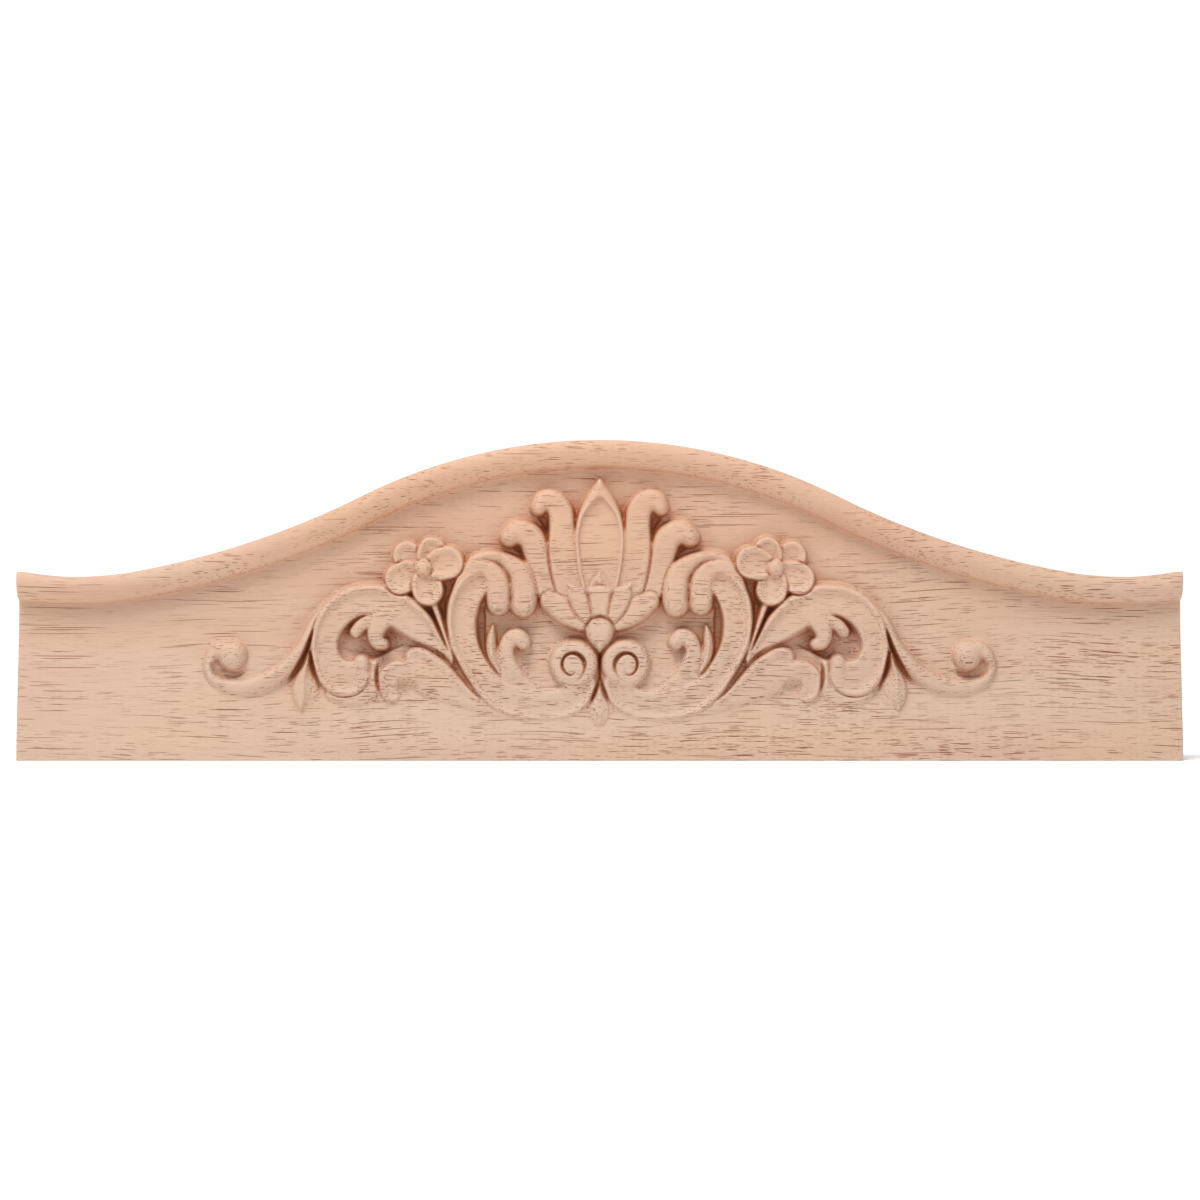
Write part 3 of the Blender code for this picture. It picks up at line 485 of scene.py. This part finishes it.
limb([(0.0, 64.7, 0.1), (0.0, 61.6, 2.4), (0.0, 58.5, 3.9)], 5.7, RIDGE, edge=0.3,
     crease=SEPAL_CREASE)
limb([(0.0, 56.6, 3.7), (0.0, 53.0, 3.2), (0.0, 48.9, 2.5)], 5.8, edge=1.3, crease=SEPAL_CREASE)
limb([(0.0, 58.5, 1.0), (3.2, 58.5, 1.0)], 6.0, edge=0.6, grown=True)
limb([(0.0, 24.6, 0.2), (0.0, 20.8, 1.7), (0.0, 17.1, 3.2), (0.0, 14.3, 2.4),
      (0.0, 11.9, 0.2)], 6.0, RIDGE, edge=0.3, left=(4.0, 3.0, 2.0), right=(4.0, 3.0, 2.0),
     crease=(2.0, 2.2, 1.8))
limb([(0.0, 44.6, 5.2), (0.0, 42.0, 3.8), (0.0, 37.6, 0.2)], (5.9, 5.8, 5.2), edge=3.2,
     crease=1.2)
report("palmette")

# %% [markdown]
# A cutter leaves crisp corners, and sandpaper takes them off. A blur of the heights by a fraction
# of a millimetre does the same. It is a small bell-shaped average along one axis and then the
# other, which numpy can do with shifted copies. The half is mirrored first, so that the middle
# line is smoothed as well, and the arrises at the foot and the ends are eased after it.

# %% Mirror the half and sand the surface
SANDING = 0.24


def sanded(height, reach):
    """The heights averaged with a bell-shaped weight that is reach millimetres wide."""
    steps = math.ceil(3 * reach / CELL)
    weights = np.exp(-0.5 * (np.arange(-steps, steps + 1) * CELL / reach) ** 2)
    weights /= weights.sum()
    for axis in (0, 1):
        pad = [(steps, steps) if axis == side else (0, 0) for side in (0, 1)]
        wide = np.pad(height, pad, mode="edge")
        count = height.shape[axis]
        height = sum(w * np.take(wide, np.arange(k, k + count), axis) for k, w in enumerate(weights))
    return height


board_x = np.hstack([-X[:, :0:-1], X])
board_z = np.hstack([Z[:, :0:-1], Z])
rough = np.minimum(np.hstack([carved[:, :0:-1], carved]), RELIEF)
smooth = sanded(rough, SANDING)
smooth += quarter_round(LENGTH / 2 - np.abs(board_x), ARRIS) + quarter_round(board_z, ARRIS)
smooth = np.minimum(smooth, RELIEF)
print(f"sanding moved the surface by {np.abs(smooth - rough).mean():.3f} mm on average")

# %% [markdown]
# The grid now becomes a closed board. Its outer edge is followed once round, and two more rings
# behind it make the sides and the eased arris at the back. The back itself is a single flat face,
# as sawn and planed wood is.

# %% Build the closed board
def ring_normals(ring):
    """Outward directions in X and Z at the points of a closed ring that runs anticlockwise."""
    ahead = np.roll(ring, -1, axis=0) - np.roll(ring, 1, axis=0)
    out = np.stack([ahead[:, 2], -ahead[:, 0]], axis=-1)
    return out / np.linalg.norm(out, axis=1, keepdims=True)


def board_mesh(x, z, height):
    """One closed mesh: the carved front, the sides, and the flat back with an eased arris."""
    front = np.stack([x, FRONT + RELIEF - height, z], axis=-1)
    index = np.arange(x.size).reshape(x.shape)
    border = np.concatenate([index[0], index[1:, -1], index[-1, -2::-1], index[-2:0:-1, 0]])
    front = front.reshape(-1, 3)
    side = front[border].copy()
    side[:, 1] = THICKNESS / 2 - ARRIS
    inner = side.copy()
    inner[:, [0, 2]] -= ARRIS * ring_normals(side)
    inner[:, 1] = THICKNESS / 2
    corners = (index[:-1, :-1], index[:-1, 1:], index[1:, 1:], index[1:, :-1])
    quads = [np.stack(corners, axis=-1).reshape(-1, 4)]
    ring = border
    for k in range(2):
        behind = len(front) + k * len(border) + np.arange(len(border))
        quads.append(np.stack([ring, behind, np.roll(behind, -1), np.roll(ring, -1)], -1))
        ring = behind
    faces = np.concatenate(quads).tolist() + [ring[::-1].tolist()]
    mesh = bpy.data.meshes.new("carved_board")
    mesh.from_pydata((np.vstack([front, side, inner]) * MM).tolist(), [], faces)
    mesh.update()
    return mesh


fine = bpy.data.objects.new("fine_board", board_mesh(board_x, board_z, smooth))
bpy.context.scene.collection.objects.link(fine)
fine.data.calc_loop_triangles()
full_count = len(fine.data.loop_triangles)
print(f"closed board of {full_count} triangles")

# %% [markdown]
# That is almost a million triangles, and most of them lie on flat wood that needs few. A coarser
# grid would lose the carving's detail, so Decimate thins the mesh instead: it takes points away
# where the surface is nearly flat and keeps them where it bends. The rest is shaded smooth, and
# only the steep edges round the outline stay sharp.

# %% Thin the mesh
TRIANGLES = 190000
SHARP_TURN = math.radians(60)
thin = fine.modifiers.new("thin", "DECIMATE")
thin.ratio = TRIANGLES / full_count
evaluated = fine.evaluated_get(bpy.context.evaluated_depsgraph_get())
thinned = bpy.data.meshes.new_from_object(evaluated)
bpy.data.objects.remove(fine, do_unlink=True)
thinned.name = "carved_board"
thinned.shade_smooth()
thinned.set_sharp_from_angle(angle=SHARP_TURN)
board = bpy.data.objects.new("carved_board", thinned)
bpy.context.scene.collection.objects.link(board)
thinned.calc_loop_triangles()
print(f"thinned to {len(thinned.loop_triangles)} triangles")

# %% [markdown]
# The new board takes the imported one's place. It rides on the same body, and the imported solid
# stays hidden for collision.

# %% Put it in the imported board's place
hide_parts(BOARD)
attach(board, "root")
print("carved_board replaces", BOARD)

# %% [markdown]
# Shader graphs are easier to read as sums than as wires. This class wraps a socket, and each
# operator adds the Math node for it and returns the new socket, wrapped again. Colours and
# vectors have their own nodes, because a Math node would turn a colour grey, and every other node
# comes from one method that first sets its settings and then its sockets.

# %% Make shader sums readable
class Tree:
    """A material's node tree."""

    def __init__(self, name):
        self.material = bpy.data.materials.new(name)
        self.material.use_nodes = True
        self.nodes = self.material.node_tree.nodes
        self.links = self.material.node_tree.links
        self.shader = self.nodes["Principled BSDF"]

    def plug(self, socket, value):
        """Sets a socket to a value, or links it."""
        if isinstance(value, Socket):
            self.links.new(value.socket, socket)
        else:
            socket.default_value = value

    def node(self, kind, settings=None, output=0, **inputs):
        """Adds a node of a type, with its settings first and then its sockets."""
        node = self.nodes.new("ShaderNode" + kind)
        for name, value in (settings or {}).items():
            setattr(node, name, value)
        for name, value in inputs.items():
            key = int(name[1:]) if name[1:].isdigit() else name.replace("_", " ")
            self.plug(node.inputs[key], value)
        return Socket(self, node.outputs[output])


class Socket:
    """An output socket that can be used in sums."""

    def __init__(self, tree, socket):
        self.tree = tree
        self.socket = socket

    def math(self, operation, *values):
        inputs = {f"i{k}": value for k, value in enumerate(values)}
        return self.tree.node("Math", {"operation": operation}, **inputs)

    def __add__(self, other):
        return self.math("ADD", self, other)

    def __sub__(self, other):
        return self.math("SUBTRACT", self, other)

    def __rsub__(self, other):
        return self.math("SUBTRACT", other, self)

    def __mul__(self, other):
        return self.math("MULTIPLY", self, other)

    __radd__ = __add__
    __rmul__ = __mul__

    def ramp(self, start, stop):
        """0 below start and 1 above stop, with a smooth step between; stop may be the lower."""
        settings = {"interpolation_type": "SMOOTHSTEP"}
        ends = {"i1": start, "i2": stop, "i3": 0.0, "i4": 1.0}
        if start > stop:
            ends = {"i1": stop, "i2": start, "i3": 1.0, "i4": 0.0}
        return self.tree.node("MapRange", settings, i0=self, **ends)


wood = Tree("pale_wood")
print("material", wood.material.name)

# %% [markdown]
# The wood is pale and pinkish, with long fine vessels that run along the board. A picture of
# boards could be wrapped round the piece, but it would smear on the carving. Wood is solid, so its
# pattern is made in space: the same vessel shows as a long dash where a flat face grazes it, and as
# a dot where a slope cuts across it. The board's own coordinates are taken in millimetres, and a
# slow drift bends the grain a little, as no tree grows quite straight.

# %% Bend the grain
DRIFT = (0.0, 3.5, 9.0)
DRIFT_ALONG = 90
DRIFT_ACROSS = 45
own_place = wood.node("TexCoord", output=3)
in_mm = wood.node("VectorMath", {"operation": "SCALE"}, i0=own_place, i3=1 / MM)


def stretched(vector, along, across):
    """Coordinates divided by a length along the grain and by a width across it."""
    scale = (1 / along, 1 / across, 1 / across)
    return wood.node("VectorMath", {"operation": "MULTIPLY"}, i0=vector, i1=scale)


drift = wood.node("TexNoise", {"noise_dimensions": "3D"}, output=1,
                  Vector=stretched(in_mm, DRIFT_ALONG, DRIFT_ACROSS), Scale=1.0, Detail=1.0)
centred = wood.node("VectorMath", {"operation": "SUBTRACT"}, i0=drift, i1=(0.5, 0.5, 0.5))
bend = wood.node("VectorMath", {"operation": "MULTIPLY"}, i0=centred, i1=DRIFT)
grain = wood.node("VectorMath", {"operation": "ADD"}, i0=in_mm, i1=bend)
print("grain drifts by up to", max(DRIFT) / 2, "mm")

# %% [markdown]
# Each vessel is a cell of a Voronoi pattern that is stretched along the grain: close to the cell's
# own point lies the vessel, about a quarter of a millimetre wide. Each cell also has a random
# colour, and its red part decides how dark the vessel is, so that some stay almost hidden.

# %% Bore the vessels
def vessels(along, across, width):
    """A mask of stretched vessels, at random strengths."""
    settings = {"voronoi_dimensions": "3D", "feature": "F1"}
    cells = stretched(grain, along, across)
    distance = wood.node("TexVoronoi", settings, output=0, Vector=cells, Scale=1.0)
    colour = Socket(wood, distance.socket.node.outputs[1])
    strength = wood.node("SeparateColor", output=0, Color=colour)
    return distance.ramp(width, width * 0.8) * strength.ramp(0.0, 0.9)


long_lines = vessels(60, 0.62, 0.24)
coarse = vessels(18, 0.58, 0.28)
middling = vessels(8, 0.46, 0.3)
small = vessels(2.4, 0.34, 0.34)
print("four sizes of vessels")

# %% [markdown]
# Between the vessels the wood varies slowly: broad bands of warmer and cooler tan, and fine fibres
# that are barely darker than their neighbours. The colour is also tinted greyer along the foot and
# warmer towards the crown. One flat colour would look like plastic, so soft noise mixes three near
# ones, and the tints are multiplied over them.

# %% Colour the wood
TAN = (0.615, 0.445, 0.34, 1.0)
PINK = (0.595, 0.405, 0.30, 1.0)
GOLD = (0.625, 0.44, 0.31, 1.0)
LOWER = (0.888, 0.875, 0.86, 1.0)
UPPER = (0.98, 0.85, 0.765, 1.0)
LOWER_END = 20.0
UPPER_END = 110.0
FIBRE = (0.88, 0.82, 0.78, 1.0)


def mixed(a, b, share):
    """Two colours mixed by a share."""
    return wood.node("Mix", {"data_type": "RGBA"}, output=2, i0=share, i6=a, i7=b)


def tinted(colour, tint, share):
    """A colour multiplied by a tint, by a share."""
    return wood.node("Mix", {"data_type": "RGBA", "blend_type": "MULTIPLY"}, output=2,
                     i0=share, i6=colour, i7=tint)


def bands(along, across, detail):
    """Soft noise, stretched along the grain."""
    return wood.node("TexNoise", {"noise_dimensions": "3D"}, output=0,
                     Vector=stretched(grain, along, across), Scale=1.0, Detail=detail)


broad = bands(120, 14, 2.0)
warm = bands(60, 22, 1.0)
fibres = bands(14, 0.35, 2.0)
colour = mixed(TAN, PINK, broad.ramp(0.35, 0.7))
colour = mixed(colour, GOLD, warm.ramp(0.45, 0.75) * 0.6)
height_up = wood.node("SeparateXYZ", output=2, Vector=in_mm)
colour = tinted(colour, mixed(LOWER, UPPER, height_up.ramp(LOWER_END, UPPER_END)), 1.0)
fibre_dark = tinted(colour, FIBRE, fibres.ramp(0.5, 0.75) * 0.6)
print("bands and fibres coloured")

# %% [markdown]
# The vessels aren't spread evenly. They come in drifts, and they are fewer near one end and high
# up on the board. Only the long ones run everywhere alike, because they are what makes the eye
# read the board as one piece.

# %% Draw the vessels
VESSEL = (0.21, 0.07, 0.03, 1.0)
SPARSE_X = -150.0
DENSE_X = -50.0
DENSE_Z = 15.0
SPARSE_Z = 70.0
along_board = wood.node("SeparateXYZ", output=0, Vector=in_mm)
crowded = bands(45, 10, 1.0).ramp(0.3, 0.65) * 0.6 + 0.4
crowded = crowded * (along_board.ramp(SPARSE_X, DENSE_X) * 0.5 + 0.5)
crowded = crowded * (1.1 - height_up.ramp(DENSE_Z, SPARSE_Z) * 0.45)
pores = long_lines * 0.85 + (coarse * 1.25 + middling + small * 0.5) * crowded
grained = mixed(fibre_dark, VESSEL, pores.ramp(0.0, 1.05))
print("vessels drawn")

# %% [markdown]
# Sandpaper leaves the edges a little paler, and a painted highlight is laid on them as well. An
# Ambient Occlusion node turned inwards says how sharp an edge a point lies on, and the same node
# turned outwards says how enclosed a point is; there painted shade darkens the hollows to brown.

# %% Rub the edges, paint highlights on them and paint shade into the hollows
# The pale colour of the sanded edges, which is also their painted highlight.
PALE_EDGE_AND_HIGHLIGHT = (0.78, 0.62, 0.50, 1.0)
EDGE_REACH = 1.6
# The warm brown of the painted shade in the hollows and creases.
PAINTED_SHADE = (0.66, 0.32, 0.15, 1.0)
PAINTED_SHADE_REACH = 7.0
# Painted highlight: sharp convex edges are lightened, partly as sanded wear and partly as light.
solid_below = wood.node("AmbientOcclusion", {"only_local": True, "inside": True, "samples": 3},
                        output=1, Distance=EDGE_REACH * MM)
rubbed_and_highlit = mixed(grained, PALE_EDGE_AND_HIGHLIGHT, solid_below.ramp(0.8, 0.3) * 0.5)
# Painted shade: enclosed hollows and creases are darkened to a warm brown.
open_round = wood.node("AmbientOcclusion", {"only_local": True, "samples": 4}, output=1,
                       Distance=PAINTED_SHADE_REACH * MM)
wood.plug(wood.shader.inputs["Base Color"], tinted(rubbed_and_highlit, PAINTED_SHADE, open_round.ramp(0.93, 0.2)))
print("edges rubbed and cuts darkened")

# %% [markdown]
# Bare sanded wood is dull, a little rougher on the darker fibres, and its vessels are tiny
# grooves. Roughness follows the fibres, and one Bump node sinks the vessels and raises the grain.

# %% Give the wood its surface
SMOOTHEST = 0.56
ROUGHER_BY = 0.12
SHINE = 0.35
GROOVE = 0.12
GROOVE_STRENGTH = 0.35
wood.plug(wood.shader.inputs["Roughness"], fibres * ROUGHER_BY + SMOOTHEST)
wood.shader.inputs["Specular IOR Level"].default_value = SHINE
grain_height = fibres * 0.35 - long_lines * 0.6 - coarse - middling * 0.8 - small * 0.5
normal = wood.node("Bump", Height=grain_height, Strength=GROOVE_STRENGTH, Distance=GROOVE * MM)
wood.plug(wood.shader.inputs["Normal"], normal)
thinned.materials.clear()
thinned.materials.append(wood.material)
print("surface finished")

# %% [markdown]
# The photograph looks straight at the board from about a metre, level with the middle of its
# height. The lens is long enough that only a trace of perspective is left, which shows at the
# ends: the front of the moulding stands out past the deeper ground.

# %% Place the camera
CAMERA_AWAY = 1070.0
LENS = 93.7
EYE = (0.1, 55.1)
camera_data = bpy.data.cameras.new("camera")
camera_data.lens = LENS
camera_data.sensor_width = 36.0
camera = bpy.data.objects.new("camera", camera_data)
camera.location = Vector((EYE[0], FRONT - CAMERA_AWAY, EYE[1])) * MM
camera.rotation_euler = (math.radians(90), 0, 0)
bpy.context.scene.collection.objects.link(camera)
bpy.context.scene.camera = camera
print(f"camera {CAMERA_AWAY:.0f} mm from the front plane")

# %% [markdown]
# The board stands on its foot on a pale sweep: a floor that curves up into a backdrop, as in a
# product studio, so that no horizon line shows behind it.

# %% Set up the pale floor
SWEEP_HALF_WIDTH = 3.0
SWEEP_FRONT = -2.5
SWEEP_BACK = 0.9
SWEEP_RADIUS = 0.5
SWEEP_HEIGHT = 2.6
SWEEP_STEPS = 16
PAPER = (0.93, 0.93, 0.93, 1.0)
PAPER_GLOW = 0.16
profile = [(SWEEP_FRONT, 0.0)]
for k in range(SWEEP_STEPS + 1):
    turn = math.radians(90) * k / SWEEP_STEPS
    profile.append((SWEEP_BACK + SWEEP_RADIUS * math.sin(turn), SWEEP_RADIUS * (1 - math.cos(turn))))
profile.append((SWEEP_BACK + SWEEP_RADIUS, SWEEP_HEIGHT))
corners = [(sign * SWEEP_HALF_WIDTH, y, z) for y, z in profile for sign in (-1, 1)]
strips = [(2 * k, 2 * k + 1, 2 * k + 3, 2 * k + 2) for k in range(len(profile) - 1)]
sweep_mesh = bpy.data.meshes.new("sweep")
sweep_mesh.from_pydata(corners, [], strips)
sweep_mesh.shade_smooth()
paper = Tree("pale_paper")
paper.shader.inputs["Base Color"].default_value = PAPER
paper.shader.inputs["Roughness"].default_value = 0.9
paper.shader.inputs["Emission Color"].default_value = (1.0, 1.0, 1.0, 1.0)
paper.shader.inputs["Emission Strength"].default_value = PAPER_GLOW
sweep_mesh.materials.append(paper.material)
sweep = bpy.data.objects.new("sweep", sweep_mesh)
bpy.context.scene.collection.objects.link(sweep)
print("sweep of", len(strips), "strips")

# %% [markdown]
# Relief needs light that comes from one side, or it looks flat, but product light is soft. A wide
# panel above and in front gives the gentle shading on every edge, a weaker one fills from low in
# front, and an even pale sky keeps the hollows from going black.

# %% Light it softly
KEY = {"power": 26, "size": 0.7, "position": (-0.35, -0.65, 1.5)}
FILL = {"power": 3, "size": 1.4, "position": (0.5, -1.7, 0.5)}
SKY = (1.0, 0.99, 0.98, 1.0)
SKY_STRENGTH = 0.42


def panel(name, power, size, position):
    """A square area light that faces the middle of the board."""
    data = bpy.data.lights.new(name, "AREA")
    data.energy = power
    data.size = size
    light = bpy.data.objects.new(name, data)
    light.location = position
    aim = Vector((0, 0, HEIGHT / 2 * MM)) - light.location
    light.rotation_euler = aim.to_track_quat("-Z", "Y").to_euler()
    bpy.context.scene.collection.objects.link(light)
    print(f"{name}: {power} W, {size} m")


panel("key", **KEY)
panel("fill", **FILL)
world = bpy.data.worlds.new("studio")
world.use_nodes = True
sky = world.node_tree.nodes["Background"]
sky.inputs["Color"].default_value = SKY
sky.inputs["Strength"].default_value = SKY_STRENGTH
bpy.context.scene.world = world
bpy.context.scene.view_settings.view_transform = "Standard"
